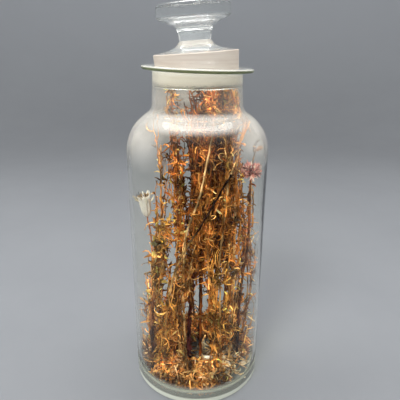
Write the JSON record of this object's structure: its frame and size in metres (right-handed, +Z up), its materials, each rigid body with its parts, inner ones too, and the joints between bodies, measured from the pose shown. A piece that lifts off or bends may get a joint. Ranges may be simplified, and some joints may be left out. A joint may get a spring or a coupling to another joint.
{
  "type": "apothecary bottle",
  "caption": "Tall clear glass apothecary bottle with a round shoulder, a wide flared lip and a ground glass stopper, holding a bundle of dried herbs.",
  "frame": {"origin": "on the bottle's axis, at the height of the foot ring that it stands on", "axes": "+Z up along the bottle's axis, front (the pictured side) towards -Y, +X to the picture's right"},
  "size_m": [0.102, 0.102, 0.2865],
  "materials": {
    "clear_glass": "polished",
    "ground_glass": "satin",
    "straw_stalk": "matte",
    "tan_stalk": "matte",
    "dark_stalk": "matte",
    "maroon_stalk": "matte",
    "orange_leaf": "matte",
    "brown_leaf": "matte",
    "white_petal": "matte",
    "pink_petal": "matte",
    "leaf_litter": "matte"
  },
  "bodies": {
    "bottle": {"bottle": "clear_glass", "white_flower_stalk": "tan_stalk", "pink_flower_stalk": "tan_stalk", "curled_stalk": "tan_stalk", "forked_straw_stalk": "straw_stalk", "dark_diagonal_stalk": "dark_stalk", "left_straw_stalk": "straw_stalk", "right_straw_stalk": "straw_stalk", "orange_leaf_stalk": "orange_leaf", "sprig_stalk": "tan_stalk", "spiky_leaf_stalk": "straw_stalk", "brown_bunch_front": "brown_leaf", "brown_bunch_middle": "brown_leaf", "brown_bunch_right": "brown_leaf", "brown_bunch_back": "brown_leaf", "brown_bunch_far": "brown_leaf", "left_leafy_stalk": "orange_leaf", "forked_maroon_stalk": "maroon_stalk", "right_pale_stalk": "tan_stalk", "short_stalk_left": "orange_leaf", "short_stalk_right": "orange_leaf", "white_flower_head": "white_petal", "pink_flower_head": "pink_petal", "litter_front": "leaf_litter", "litter_left": "leaf_litter", "litter_back": "leaf_litter"},
    "stopper": {"stopper": "ground_glass"}
  },
  "joints": [
    {"name": "stopper_lift", "type": "slide", "parent": "bottle", "child": "stopper", "axis": [0, 0, 1], "range_m": [0, 0.06]}
  ]
}
